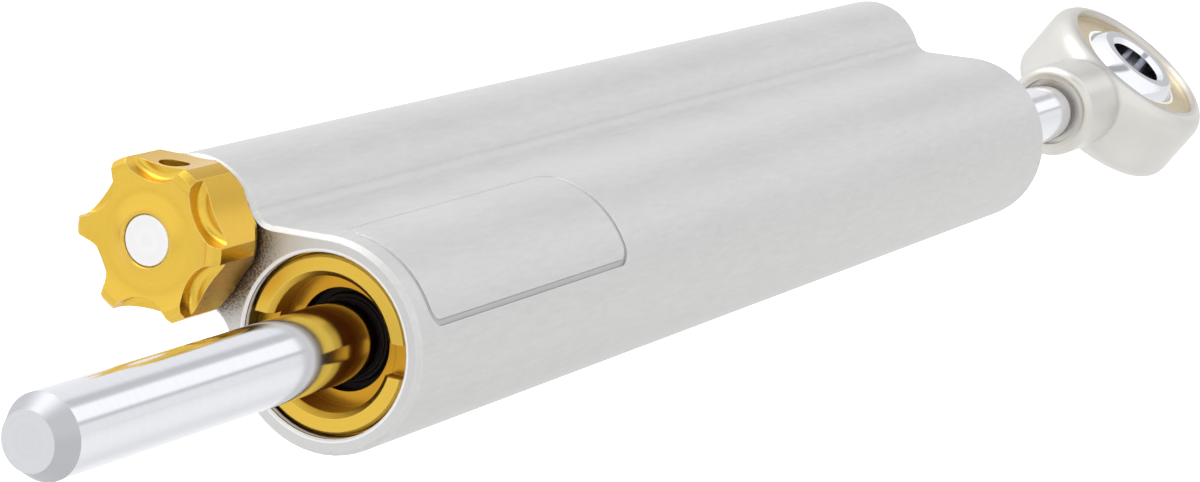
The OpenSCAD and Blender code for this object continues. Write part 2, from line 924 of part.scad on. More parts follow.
// Points of a coil about the X axis: rings of wire corners, one ring after another
function coil_points(r, wire, length, curls, per_curl, sides) = [
    for (i = [0 : curls * per_curl], k = [0 : sides - 1])
        let (
            turn = 360 * i / per_curl,
            around = 360 * k / sides,
            out = r + wire / 2 * cos(around)
        )
        [length * i / (curls * per_curl) + wire / 2 * sin(around), out * cos(turn), out * sin(turn)]
];

// Triangles of a tube of rings, with both ends closed
function tube_faces(rings, sides) = concat(
    [
        for (i = [0 : rings - 2], k = [0 : sides - 1], half = [0, 1])
            let (
                a = i * sides + k,
                b = i * sides + (k + 1) % sides
            )
            half == 0 ? [a, b, b + sides] : [a, b + sides, a + sides]
    ],
    [for (k = [1 : sides - 2]) [0, k + 1, k]],
    [
        for (k = [1 : sides - 2])
            let (last = (rings - 1) * sides)
                [last, last + k, last + k + 1]
    ]
);

module coil(r, wire, length, curls) {
    per_curl = 8;
    sides = 6;
    polyhedron(
        coil_points(r, wire, length, curls, per_curl, sides),
        tube_faces(curls * per_curl + 1, sides)
    );
}

// Springs between the holes in the knob and the balls
module detent_springs() {
    coil_r = detent_d / 2 - spring_wire;
    ball_seat = sqrt(pow(detent_d / 2, 2) - pow(coil_r, 2));
    start_x = detent_hole_x + spring_wire;
    end_x = detent_x - ball_seat - spring_wire;
    color(steel_grey)
        on_side()
            for (s = [0, 180])
                rotate([s, 0, 0])
                    translate([start_x, click_r, 0])
                        coil(coil_r, spring_wire, end_x - start_x, spring_curls);
}

// Needle: a thread in the spindle, a six-sided guide and a tapered nose
module metering_needle() {
    guide_len = needle_guide_end - needle_guide_at;
    nose_r = needle_nose_d / 2;
    tip_r = jet_hole_d / 4;
    color(steel_grey)
        on_side()
            from_front() {
                tube_x(collar_at - collar_t + 1.2, needle_guide_at, needle_thread_d / 2);
                translate([needle_guide_at, 0, 0])
                    rotate([0, 90, 0])
                        cylinder(r = needle_flats / 2 / cos(30), h = guide_len, $fn = 6);
                turned([
                    [0, needle_guide_end], [nose_r, needle_guide_end],
                    [nose_r, needle_end - needle_nose * 0.55], [tip_r, needle_end], [0, needle_end]
                ]);
            }
}

module metering_jet() {
    hole_r = jet_hole_d / 2;
    color(brass)
        on_side()
            from_front()
                turned([
                    [hole_r + 1.2, jet_at], [housing_r, jet_at], [housing_r, jet_at + jet_len],
                    [hole_r, jet_at + jet_len], [hole_r, jet_at + 1.6]
                ]);
}

// Groove for an O-ring on a piece in the side bore
module reservoir_groove(at) {
    half = reservoir_cord * 0.65;
    tube_x(at - half, at + half, side_bore_d, side_bore_d / 2 - reservoir_cord);
}

module reservoir_oring(at) {
    color(rubber_black)
        on_side()
            ring_x(at, (side_bore_d - reservoir_cord) / 2, reservoir_cord - 2 * seat_clear);
}

module floating_piston() {
    outer_r = side_bore_d / 2 - running_clear;
    half = floater_len / 2;
    color(satin_grey)
        on_side()
            difference() {
                tube_x(floater_x - half, floater_x + half, outer_r);
                tube_x(floater_x, floater_x + half + 1, outer_r - 3);
                reservoir_groove(floater_x);
            }
}

module floating_piston_oring() {
    reservoir_oring(floater_x);
}

module reservoir_plug() {
    half = plug_len / 2;
    color(gold)
        on_side()
            difference() {
                tube_x(plug_x - half, plug_x + half, housing_r);
                tube_x(plug_x - half - 1, plug_x + half + 1, fill_d / 2);
                reservoir_groove(plug_groove_x);
            }
}

module plug_oring() {
    reservoir_oring(plug_groove_x);
}

module fill_screw() {
    half = plug_len / 2;
    color(steel_grey)
        on_side()
            difference() {
                tube_x(plug_x - half, plug_x + half - 0.4, fill_d / 2 - seat_clear);
                translate([plug_x + half - 3, 0, 0])
                    rotate([0, 90, 0])
                        cylinder(d = fill_d * 0.55, h = 4, $fn = 6);
            }
}

body();
lock_ring();  // front_lock_ring
seal_head();  // front_seal_head
wiper();  // front_wiper
rod_seal();  // front_rod_seal
rod_bush();  // front_rod_bush
head_oring();  // front_head_oring
at_back() lock_ring();  // rear_lock_ring
at_back() seal_head();  // rear_seal_head
at_back() wiper();  // rear_wiper
at_back() rod_seal();  // rear_rod_seal
at_back() rod_bush();  // rear_rod_bush
at_back() head_oring();  // rear_head_oring
rod();
piston();
piston_ring();
piston_clips();
rod_end();
bearing_race();
bearing_liner();
bearing_ball();
knob();
knob_screw();
adjuster_spindle();
spindle_clip();
spindle_oring();
adjuster_housing();
housing_oring();
detent_balls();
detent_springs();
metering_needle();
metering_jet();
floating_piston();
floating_piston_oring();
reservoir_plug();
plug_oring();
fill_screw();
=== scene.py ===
import json
import math

import bpy
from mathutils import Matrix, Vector


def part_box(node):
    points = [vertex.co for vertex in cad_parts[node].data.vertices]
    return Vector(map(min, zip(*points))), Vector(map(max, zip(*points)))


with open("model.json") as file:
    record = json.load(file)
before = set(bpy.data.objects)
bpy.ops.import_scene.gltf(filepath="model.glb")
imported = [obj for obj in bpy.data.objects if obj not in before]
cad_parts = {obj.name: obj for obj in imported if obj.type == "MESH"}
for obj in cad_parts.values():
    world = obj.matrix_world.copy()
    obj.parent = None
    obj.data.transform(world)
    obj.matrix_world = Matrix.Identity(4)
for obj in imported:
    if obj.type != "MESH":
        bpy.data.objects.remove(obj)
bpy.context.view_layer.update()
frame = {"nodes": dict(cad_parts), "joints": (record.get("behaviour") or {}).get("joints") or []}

bl_info = {
    "name": "Steering damper finishes",
    "version": (1, 0, 0),
    "blender": (4, 5, 0),
    "location": "View3D > Sidebar > Damper",
    "description": "Gives the pieces of a steering damper their finishes and sets up the studio",
    "category": "Object",
}

MM = 0.001
JOINTS = {joint["name"]: joint for joint in frame["joints"]}
ROD_AXIS = Vector((0, 0, 0))
SIDE_AXIS = Vector(JOINTS["knob_turn"]["pos_m"])
ROD_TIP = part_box("rod")[0].x
TUBE_R = -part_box("body")[0].y
GLAND_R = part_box("front_seal_head")[1].y
KNOB_R = (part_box("knob")[1].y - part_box("knob")[0].y) / 2
RING_FACE = -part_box("front_lock_ring")[0].x
BODY_FACE = -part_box("body")[0].x


def colour_prop(name, description, default):
    return bpy.props.FloatVectorProperty(
        name=name, description=description, default=default, subtype="COLOR", size=3, min=0, max=1
    )


def length_prop(name, description, default):
    return bpy.props.FloatProperty(
        name=name, description=description, default=default, unit="LENGTH", min=0, precision=5
    )


class DamperFinish(bpy.types.PropertyGroup):
    """Colours and surface sizes of the pieces"""

    satin: colour_prop("Satin aluminium", "Colour of the blasted body", (0.65, 0.65, 0.64))
    # painted shade: besides the dirt specks, this colour darkens the front face round and under the knob,
    # where the knob shades it
    soil_and_shade: colour_prop("Soil", "Colour of the dirt in the corners", (0.10, 0.062, 0.042))
    # painted highlight: the edges get this bright colour for wear and also for the highlights they catch
    worn_edge_highlight: colour_prop("Bright edge", "Colour of the body's rubbed edges", (0.92, 0.92, 0.91))
    grit: colour_prop("Grit", "Colour of the pits of the blasted body", (0.30, 0.30, 0.29))
    end_face: colour_prop("End face", "Colour of the body's front face", (0.64, 0.64, 0.63))
    # painted reflection: the bare bore is set bright and matt to stand for the white it mirrors
    bore: colour_prop("Bore", "Colour of the bare walls of the bores", (0.88, 0.88, 0.89))
    bore_shade: colour_prop("Bore shade", "Colour of the dark lines in the bores", (0.02, 0.015, 0.01))
    gold: colour_prop("Gold", "Colour of the anodised pieces", (0.75, 0.495, 0.072))
    # painted highlight: the gold edges get this pale colour for wear and also for the highlights they catch
    pale_gold_highlight: colour_prop("Pale gold", "Colour of rubbed gold edges", (0.95, 0.73, 0.33))
    # painted shade: the walls inside the glands, below the lock rings' faces
    deep_gold_shade: colour_prop("Deep gold", "Colour of the oily walls inside the glands", (0.10, 0.022, 0.002))
    # painted shade: a darker tint for the faces deep in the glands and for the knob's milled sides, in place
    # of the dark they mirror
    amber_shade: colour_prop("Amber", "Tint of gold faces in the glands and of milled sides", (0.60, 0.30, 0.025))
    chrome: colour_prop("Chrome", "Colour of the rod and the ball", (0.80, 0.81, 0.84))
    chamfer: colour_prop("Chamfer", "Colour of the dull chamfer of the rod", (0.47, 0.48, 0.50))
    tip_dark: colour_prop("Tip, dark", "Darker colour of the rod's end face", (0.63, 0.64, 0.66))
    tip_light: colour_prop("Tip, light", "Lighter colour of the rod's end face", (0.66, 0.67, 0.69))
    nickel: colour_prop("Nickel", "Colour of the rod end", (0.67, 0.655, 0.62))
    race: colour_prop("Race", "Colour of the bearing race", (0.74, 0.62, 0.41))
    spindle: colour_prop("Spindle", "Colour of the turned spindle", (0.86, 0.86, 0.86))
    steel: colour_prop("Steel", "Colour of screws, clips and springs", (0.46, 0.47, 0.49))
    bronze: colour_prop("Bronze", "Colour of the bushes", (0.52, 0.35, 0.17))
    rubber: colour_prop("Rubber", "Colour of the seals", (0.010, 0.006, 0.004))
    liner: colour_prop("Liner", "Colour of the liner of the ball", (0.78, 0.76, 0.70))
    grain: length_prop("Grain", "Size of the grains of the blasted surface", 0.16 * MM)
    turning: length_prop("Turning marks", "Distance between the marks of the lathe", 0.11 * MM)
    # this radius also sets the width of the painted edge highlights
    edge: length_prop("Edge", "Radius of the rubbed edges", 0.14 * MM)
    soft_edge: length_prop("Soft edge", "Radius of the blended edges of the rod end", 2.2 * MM)
    groove: length_prop("Groove", "Depth at which the panel's groove is fully shaded", 0.24 * MM)
    # reach of the dirt and of the painted shade round the knob
    soil_and_shade_reach: length_prop("Soil reach", "How far the dirt spreads round the knob", 3.8 * MM)
    # depth at which the painted shade in the glands is full
    recess_shade_depth: length_prop("Recess", "Depth at which the gold in the glands is fully oily", 1.0 * MM)


class DamperStage(bpy.types.PropertyGroup):
    """Camera, floor and light of the studio"""

    camera_at: bpy.props.FloatVectorProperty(
        name="Camera", description="Place of the camera", subtype="TRANSLATION", unit="LENGTH",
        default=(-0.4743, -0.2329, 0.0864),
    )
    heading: bpy.props.FloatProperty(
        name="Heading", description="Direction of view round Z, from +X", subtype="ANGLE",
        default=math.radians(27.7),
    )
    pitch: bpy.props.FloatProperty(
        name="Pitch", description="How far the camera looks down", subtype="ANGLE",
        default=math.radians(9.546),
    )
    lens: bpy.props.FloatProperty(
        name="Lens", description="Focal length on a 36 mm sensor", default=111.88, unit="CAMERA",
    )
    floor_at: length_prop("Floor", "How far the floor lies below the rod axis", 0.09)
    floor_colour: colour_prop("Floor colour", "Colour of the pale floor", (0.84, 0.84, 0.835))
    floor_glow: bpy.props.FloatProperty(
        name="Floor glow", description="Light of the floor to the camera, as of a lit table", default=0.6,
    )
    sky: bpy.props.FloatProperty(
        name="Sky", description="Strength of the light from all round", default=1.18,
    )
    key_power: bpy.props.FloatProperty(
        name="Key light", description="Power of the softbox above", default=3.0, unit="POWER",
    )


def add_node(tree, kind, **settings):
    """Adds a node to the tree; plain settings are its properties, numbers for sockets come later."""
    node = tree.nodes.new(kind)
    for key, value in settings.items():
        setattr(node, key, value)
    return node


def feed(tree, socket, value):
    """Links a socket of another node into this one, or sets a plain value on it."""
    if isinstance(value, bpy.types.NodeSocket):
        tree.links.new(value, socket)
    else:
        socket.default_value = value


def math_node(tree, operation, *values, clamp=False):
    node = add_node(tree, "ShaderNodeMath", operation=operation, use_clamp=clamp)
    for socket, value in zip(node.inputs, values):
        feed(tree, socket, value)
    return node.outputs[0]


def vector_node(tree, operation, *values, output="Vector"):
    node = add_node(tree, "ShaderNodeVectorMath", operation=operation)
    for socket, value in zip(node.inputs, values):
        feed(tree, socket, value)
    return node.outputs[output]


def mix_colour(tree, factor, a, b):
    node = add_node(tree, "ShaderNodeMix", data_type="RGBA")
    feed(tree, node.inputs[0], factor)
    for socket, value in ((node.inputs[6], a), (node.inputs[7], b)):
        feed(tree, socket, value if isinstance(value, bpy.types.NodeSocket) else (*value, 1))
    return node.outputs[2]


def remap(tree, value, low, high, to_low=0.0, to_high=1.0):
    node = add_node(tree, "ShaderNodeMapRange", clamp=True)
    for socket, number in zip(node.inputs, (value, low, high, to_low, to_high)):
        feed(tree, socket, number)
    return node.outputs[0]


def noise(tree, vector, scale, detail=2.0, roughness=0.5):
    node = add_node(tree, "ShaderNodeTexNoise")
    feed(tree, node.inputs["Vector"], vector)
    node.inputs["Scale"].default_value = scale
    node.inputs["Detail"].default_value = detail
    node.inputs["Roughness"].default_value = roughness
    return node.outputs["Fac"]


def new_group(name, inputs, outputs):
    """Starts a shader node group; returns the tree with its input and output nodes."""
    tree = bpy.data.node_groups.new(name, "ShaderNodeTree")
    for socket_name, kind, default in inputs:
        tree.interface.new_socket(socket_name, in_out="INPUT", socket_type=kind).default_value = default
    for socket_name, kind in outputs:
        tree.interface.new_socket(socket_name, in_out="OUTPUT", socket_type=kind)
    return tree, tree.nodes.new("NodeGroupInput"), tree.nodes.new("NodeGroupOutput")


def blasted_grain_group():
    """Fine pits of a blasted surface, with soft patches and faint marks along X."""
    tree, given, result = new_group(
        "blasted_grain",
        [("Grain", "NodeSocketFloat", 0.16 * MM)],
        [("Height", "NodeSocketFloat"), ("Patch", "NodeSocketFloat"), ("Streak", "NodeSocketFloat")],
    )
    place = add_node(tree, "ShaderNodeTexCoord").outputs["Object"]
    per_grain = math_node(tree, "DIVIDE", 1.0, given.outputs["Grain"])
    fine = vector_node(tree, "SCALE", place)
    feed(tree, fine.node.inputs["Scale"], per_grain)
    feed(tree, result.inputs["Height"], noise(tree, fine, 1.0, 3.0, 0.6))
    feed(tree, result.inputs["Patch"], noise(tree, place, 70.0, 4.0, 0.55))
    drawn = vector_node(tree, "MULTIPLY", place, (260.0, 1500.0, 1500.0))
    feed(tree, result.inputs["Streak"], noise(tree, drawn, 1.0, 3.0, 0.6))
    return tree


def turned_marks_group():
    """Rings left by a lathe that turned the piece about an axis along X."""
    tree, given, result = new_group(
        "turned_marks",
        [("Centre", "NodeSocketVector", (0, 0, 0)), ("Pitch", "NodeSocketFloat", 0.1 * MM)],
        [("Height", "NodeSocketFloat"), ("Band", "NodeSocketFloat")],
    )
    place = add_node(tree, "ShaderNodeTexCoord").outputs["Object"]
    local = vector_node(tree, "SUBTRACT", place, given.outputs["Centre"])
    flat = vector_node(tree, "MULTIPLY", local, (0, 1, 1))
    radius = vector_node(tree, "LENGTH", flat, output="Value")
    along = add_node(tree, "ShaderNodeSeparateXYZ")
    feed(tree, along.inputs[0], local)
    ring = add_node(tree, "ShaderNodeCombineXYZ")
    feed(tree, ring.inputs[0], math_node(tree, "DIVIDE", radius, given.outputs["Pitch"]))
    feed(tree, ring.inputs[1], math_node(tree, "DIVIDE", along.outputs["X"], given.outputs["Pitch"]))
    feed(tree, result.inputs["Height"], noise(tree, ring.outputs[0], 1.0, 2.0, 0.5))
    feed(tree, result.inputs["Band"], noise(tree, ring.outputs[0], 0.13, 2.0, 0.5))
    return tree


def milled_streaks_group():
    """Fine marks along X, as a side mill leaves them."""
    tree, given, result = new_group(
        "milled_streaks",
        [("Pitch", "NodeSocketFloat", 0.1 * MM)],
        [("Height", "NodeSocketFloat"), ("Band", "NodeSocketFloat")],
    )
    place = add_node(tree, "ShaderNodeTexCoord").outputs["Object"]
    slow = vector_node(tree, "MULTIPLY", place, (0.04, 1, 1))
    scaled = vector_node(tree, "SCALE", slow)
    feed(tree, scaled.node.inputs["Scale"], math_node(tree, "DIVIDE", 1.0, given.outputs["Pitch"]))
    feed(tree, result.inputs["Height"], noise(tree, scaled, 1.0, 2.0, 0.5))
    feed(tree, result.inputs["Band"], noise(tree, scaled, 0.12, 2.0, 0.5))
    return tree


def edge_wear_highlight_group():
    """Mask of the edges, for their wear and their painted highlights, and the normal with those edges
    rounded.
    """
    tree, given, result = new_group(
        "edge_wear_highlight",
        [("Radius", "NodeSocketFloat", 0.14 * MM)],
        [("Mask", "NodeSocketFloat"), ("Normal", "NodeSocketVector")],
    )
    rounded = add_node(tree, "ShaderNodeBevel", samples=6)
    feed(tree, rounded.inputs["Radius"], given.outputs["Radius"])
    normal = add_node(tree, "ShaderNodeNewGeometry").outputs["Normal"]
    agree = vector_node(tree, "DOT_PRODUCT", rounded.outputs[0], normal, output="Value")
    feed(tree, result.inputs["Mask"], remap(tree, agree, 0.995, 0.85))
    feed(tree, result.inputs["Normal"], rounded.outputs[0])
    return tree


def speckled_soil_and_shade_group():
    """Mask of dirt and painted shade: its dirt specks get closer and an even painted shade grows as the given
    mask rises.
    """
    tree, given, result = new_group(
        "speckled_soil_and_shade",
        [("Where", "NodeSocketFloat", 0.0), ("Haze", "NodeSocketFloat", 0.3)],
        [("Mask", "NodeSocketFloat")],
    )
    place = add_node(tree, "ShaderNodeTexCoord").outputs["Object"]
    where = given.outputs["Where"]
    grains = noise(tree, place, 3400.0, 3.0, 0.75)
    specks = math_node(tree, "ADD", grains, math_node(tree, "MULTIPLY", where, 0.45))
    spread = math_node(tree, "POWER", where, 0.5)
    spotted = math_node(tree, "MULTIPLY", remap(tree, specks, 0.70, 0.92), spread)
    shade_haze = math_node(tree, "MULTIPLY", math_node(tree, "POWER", where, 2.0), given.outputs["Haze"])
    feed(tree, result.inputs["Mask"], math_node(tree, "MAXIMUM", spotted, shade_haze, clamp=True))
    return tree


GROUP_MAKERS = {
    "blasted_grain": blasted_grain_group,
    "turned_marks": turned_marks_group,
    "milled_streaks": milled_streaks_group,
    "edge_wear_highlight": edge_wear_highlight_group,
    "speckled_soil_and_shade": speckled_soil_and_shade_group,
}


def use_group(tree, name, **values):
    """Places a shared effect in a material; it is built the first time that it is asked for."""
    group = bpy.data.node_groups.get(name) or GROUP_MAKERS[name]()
    node = add_node(tree, "ShaderNodeGroup", node_tree=group)
    for key, value in values.items():
        feed(tree, node.inputs[key], value)
    return node.outputs


def new_material(name, metallic, roughness):
    """Starts a material; returns it with its tree and its Principled shader."""
    material = bpy.data.materials.new(name)
    material.use_nodes = True
    tree = material.node_tree
    shader = tree.nodes["Principled BSDF"]
    shader.inputs["Metallic"].default_value = metallic
    shader.inputs["Roughness"].default_value = roughness
    return material, tree, shader


def bump(tree, shader, height, distance, strength, normal=None):
    node = add_node(tree, "ShaderNodeBump")
    node.inputs["Strength"].default_value = strength
    node.inputs["Distance"].default_value = distance
    feed(tree, node.inputs["Height"], height)
    if normal is not None:
        feed(tree, node.inputs["Normal"], normal)
    feed(tree, shader.inputs["Normal"], node.outputs[0])


def facing(tree, low, high, sign):
    """Mask of the faces that look along X, to the front with sign -1 or to the back with +1."""
    normal = add_node(tree, "ShaderNodeSeparateXYZ")
    feed(tree, normal.inputs[0], add_node(tree, "ShaderNodeNewGeometry").outputs["True Normal"])
    along = math_node(tree, "MULTIPLY", normal.outputs["X"], sign)
    return remap(tree, along, low, high)


def along_and_off(tree, axis):
    """X of the point being shaded, and its distance from an axis along X through the given point."""
    place = add_node(tree, "ShaderNodeTexCoord").outputs["Object"]
    split = add_node(tree, "ShaderNodeSeparateXYZ")
    feed(tree, split.inputs[0], place)
    flat = vector_node(tree, "MULTIPLY", vector_node(tree, "SUBTRACT", place, tuple(axis)), (0, 1, 1))
    return split.outputs["X"], vector_node(tree, "LENGTH", flat, output="Value")


def mix_value(tree, factor, a, b):
    node = add_node(tree, "ShaderNodeMix", data_type="FLOAT")
    for socket, value in zip((node.inputs[0], node.inputs[2], node.inputs[3]), (factor, a, b)):
        feed(tree, socket, value)
    return node.outputs[0]


def sides(tree):
    """Mask of the faces that look across the X axis."""
    ends = math_node(tree, "MAXIMUM", facing(tree, 0.1, 0.2, -1), facing(tree, 0.1, 0.2, 1))
    return math_node(tree, "SUBTRACT", 1.0, ends)


def groove_shade(tree, finish, radius):
    """Mask of the painted shade in the groove round the panel, stronger where the groove is deeper."""
    below = remap(tree, radius, TUBE_R - 0.02 * MM, TUBE_R - finish.groove)
    outside = math_node(tree, "GREATER_THAN", radius, TUBE_R - 2 * finish.groove)
    return math_node(tree, "MULTIPLY", below, math_node(tree, "MULTIPLY", outside, sides(tree)))


def shade_recesses(tree, finish, clean):
    """The clean gold, with painted shade on the faces and walls below the faces of the lock rings: a darker
    orange on the faces, dark brown on the walls.
    """
    along = math_node(tree, "ABSOLUTE", along_and_off(tree, ROD_AXIS)[0])
    deep = remap(tree, along, RING_FACE - 0.2 * MM, RING_FACE - finish.recess_shade_depth)
    recess_shade = mix_colour(tree, sides(tree), tuple(finish.amber_shade), tuple(finish.deep_gold_shade))
    return mix_colour(tree, deep, clean, recess_shade)


def soil_and_shade_mask(tree, finish, front):
    """Mask of the dirt and of the painted shade on the front face round and under the knob."""
    from_knob = along_and_off(tree, SIDE_AXIS)[1]
    near_knob = remap(tree, from_knob, KNOB_R + finish.soil_and_shade_reach, KNOB_R - 1 * MM)
    where = math_node(tree, "MULTIPLY", near_knob, front)
    return use_group(tree, "speckled_soil_and_shade", Where=where, Haze=0.8)["Mask"]


def bore_colour(tree, finish, along):
    """Bare wall of the main bore, painted bright and matt for the white it mirrors, with a painted shade line
    near its mouth and painted shade in its depth.
    """
    inward = math_node(tree, "ABSOLUTE", along)
    line = math_node(tree, "COMPARE", inward, BODY_FACE - 0.4 * MM, 0.1 * MM)
    deep = remap(tree, inward, BODY_FACE - 0.95 * MM, BODY_FACE - 1.25 * MM)
    shaded = math_node(tree, "MAXIMUM", line, deep)
    return mix_colour(tree, shaded, tuple(finish.bore), tuple(finish.bore_shade))


def satin_material(finish):
    """Blasted and clear anodised aluminium: edges lightened for wear and as painted highlights, bare bores
    painted bright with painted shade lines, painted shade in the panel's groove, and dirt with painted shade
    round the knob.
    """
    material, tree, shader = new_material("satin_aluminium_finish", 0.85, 0.5)
    grain = use_group(tree, "blasted_grain", Grain=finish.grain)
    wear_highlight = use_group(tree, "edge_wear_highlight", Radius=finish.edge)
    along, radius = along_and_off(tree, ROD_AXIS)
    front = facing(tree, 0.75, 0.9, -1)
    dark = tuple(0.965 * c for c in finish.satin)
    light = tuple(min(1, 1.035 * c) for c in finish.satin)
    tone = mix_value(tree, 0.7, grain["Patch"], grain["Streak"])
    plain = mix_colour(tree, remap(tree, tone, 0.35, 0.65), dark, light)
    pitted = remap(tree, grain["Height"], 0.30, 0.70, 0.0, 0.13)
    speck = mix_colour(tree, pitted, plain, tuple(finish.grit))
    # painted shade in the groove round the panel
    groove_shade_colour = tuple(0.8 * c for c in finish.satin)
    grooved = mix_colour(tree, groove_shade(tree, finish, radius), speck, groove_shade_colour)
    ends = mix_colour(tree, math_node(tree, "MULTIPLY", front, 0.7), grooved, tuple(finish.end_face))
    # the edges are lightened for wear and as painted highlights
    worn_and_highlit = math_node(tree, "MULTIPLY", wear_highlight["Mask"], 0.6)
    rubbed_and_highlit = mix_colour(tree, worn_and_highlit, ends, tuple(finish.worn_edge_highlight))
    # dirt specks and painted shade on the front face round and under the knob
    soiled_and_shaded = mix_colour(tree, soil_and_shade_mask(tree, finish, front), rubbed_and_highlit, tuple(finish.soil_and_shade))
    # the bore is painted bright and matt for the white it mirrors, with painted shade lines
    in_bore = remap(tree, radius, GLAND_R + 0.5 * MM, GLAND_R + 0.4 * MM)
    bore = bore_colour(tree, finish, along)
    feed(tree, shader.inputs["Base Color"], mix_colour(tree, in_bore, soiled_and_shaded, bore))
    blasted = remap(tree, grain["Patch"], 0.3, 0.7, 0.46, 0.54)
    feed(tree, shader.inputs["Roughness"], mix_value(tree, in_bore, blasted, 0.25))
    feed(tree, shader.inputs["Metallic"], mix_value(tree, in_bore, 0.85, 0.1))
    bump(tree, shader, grain["Height"], 0.02 * MM, 0.35, wear_highlight["Normal"])
    return material


def gold_material(name, finish, centre, milled=False, recess_shade=False):
    """Gold anodised aluminium with lathe marks and edges lightened for wear and as painted highlights; milled
    sides get a painted shade tint, and the recesses can get painted shade.
    """
    material, tree, shader = new_material(name, 1.0, 0.27)
    rings = use_group(tree, "turned_marks", Centre=tuple(centre), Pitch=finish.turning)
    wear_highlight = use_group(tree, "edge_wear_highlight", Radius=finish.edge)
    height, band = rings["Height"], rings["Band"]
    if milled:
        streaks = use_group(tree, "milled_streaks", Pitch=finish.turning)
        face = facing(tree, 0.3, 0.6, -1)
        height = mix_value(tree, face, streaks["Height"], rings["Height"])
    dark = tuple(0.98 * c for c in finish.gold)
    light = tuple(min(1, 1.01 * c) for c in finish.gold)
    plain = mix_colour(tree, remap(tree, band, 0.3, 0.7), dark, light)
    # painted shade: the milled sides get a darker orange tint in place of the dark they mirror
    if milled:
        plain = mix_colour(tree, remap(tree, face, 0.0, 1.0, 0.25, 0.0), plain, tuple(finish.amber_shade))
    # the gold edges are lightened for wear and as painted highlights
    rubbed_and_highlit = mix_colour(tree, math_node(tree, "MULTIPLY", wear_highlight["Mask"], 0.55), plain, tuple(finish.pale_gold_highlight))
    # painted shade on the faces and walls below the lock rings' faces
    if recess_shade:
        rubbed_and_highlit = shade_recesses(tree, finish, rubbed_and_highlit)
    feed(tree, shader.inputs["Base Color"], rubbed_and_highlit)
    feed(tree, shader.inputs["Roughness"], remap(tree, height, 0.3, 0.7, 0.27, 0.29))
    bump(tree, shader, height, 0.0004 * MM, 0.2, wear_highlight["Normal"])
    return material


def rod_material(finish):
    """Ground and polished hard chrome, with a dull chamfer and a matt turned end face."""
    material, tree, shader = new_material("rod_chrome_finish", 1.0, 0.1)
    rings = use_group(tree, "turned_marks", Centre=tuple(ROD_AXIS), Pitch=finish.turning)
    wear_highlight = use_group(tree, "edge_wear_highlight", Radius=finish.edge)
    along = along_and_off(tree, ROD_AXIS)[0]
    near_tip = math_node(tree, "LESS_THAN", along, ROD_TIP + 3 * MM)
    chamfer = math_node(tree, "MULTIPLY", facing(tree, 0.2, 0.4, -1), near_tip)
    turned_end = math_node(tree, "MULTIPLY", facing(tree, 0.75, 0.9, -1), near_tip)
    shine = mix_colour(tree, remap(tree, rings["Band"], 0.35, 0.65),
                       tuple(0.98 * c for c in finish.chrome), tuple(finish.chrome))
    matt = mix_colour(tree, remap(tree, rings["Height"], 0.3, 0.7),
                      tuple(finish.tip_dark), tuple(finish.tip_light))
    dulled = mix_colour(tree, chamfer, shine, tuple(finish.chamfer))
    feed(tree, shader.inputs["Base Color"], mix_colour(tree, turned_end, dulled, matt))
    polished = remap(tree, rings["Height"], 0.3, 0.7, 0.10, 0.14)
    feed(tree, shader.inputs["Roughness"], mix_value(tree, chamfer, polished, 0.42))
    bump(tree, shader, rings["Height"], 0.0007 * MM, 0.3, wear_highlight["Normal"])
    return material


def plain_metal(name, finish, colour, roughness, spread, soft_from=None):
    """Bare or plated metal, patchy by the spread; its edges are soft from the given place along X."""
    material, tree, shader = new_material(name, 1.0, roughness)
    grain = use_group(tree, "blasted_grain", Grain=finish.grain)
    edge = finish.edge
    if soft_from is not None:
        along = along_and_off(tree, ROD_AXIS)[0]
        edge = remap(tree, along, soft_from, soft_from + finish.soft_edge, finish.edge, finish.soft_edge)
    wear_highlight = use_group(tree, "edge_wear_highlight", Radius=edge)
    dark = tuple((1 - spread) * c for c in colour)
    light = tuple(min(1, (1 + spread) * c) for c in colour)
    feed(tree, shader.inputs["Base Color"],
         mix_colour(tree, remap(tree, grain["Patch"], 0.3, 0.7), dark, light))
    feed(tree, shader.inputs["Roughness"],
         remap(tree, grain["Height"], 0.3, 0.7, roughness * (1 - spread), roughness * (1 + spread)))
    bump(tree, shader, grain["Height"], 0.004 * MM, 0.3, wear_highlight["Normal"])
    return material


def turned_metal(name, finish, colour, roughness, centre):
    """Bare metal with lathe marks about an axis along X."""
    material, tree, shader = new_material(name, 1.0, roughness)
    rings = use_group(tree, "turned_marks", Centre=tuple(centre), Pitch=finish.turning)
    wear_highlight = use_group(tree, "edge_wear_highlight", Radius=finish.edge)
    dark = tuple(0.96 * c for c in colour)
    feed(tree, shader.inputs["Base Color"],
         mix_colour(tree, remap(tree, rings["Band"], 0.3, 0.7), dark, tuple(colour)))
    feed(tree, shader.inputs["Roughness"],
         remap(tree, rings["Height"], 0.3, 0.7, roughness * 0.85, roughness * 1.15))
    bump(tree, shader, rings["Height"], 0.005 * MM, 0.4, wear_highlight["Normal"])
    return material


def moulded_material(name, finish, colour, roughness):
    """Rubber or plastic with a fine moulded grain."""
    material, tree, shader = new_material(name, 0.0, roughness)
    shader.inputs["Specular IOR Level"].default_value = 0.2
    grain = use_group(tree, "blasted_grain", Grain=finish.grain)
    light = tuple(min(1, 1.4 * c) for c in colour)
    feed(tree, shader.inputs["Base Color"],
         mix_colour(tree, remap(tree, grain["Patch"], 0.35, 0.7), tuple(colour), light))
    feed(tree, shader.inputs["Roughness"],
         remap(tree, grain["Height"], 0.3, 0.7, roughness * 0.85, roughness * 1.15))
    bump(tree, shader, grain["Height"], 0.004 * MM, 0.3)
    return material


def wear(nodes, material):
    """Gives the CAD nodes a material in their own slot."""
    for name in nodes:
        frame["nodes"][name].material_slots[0].material = material


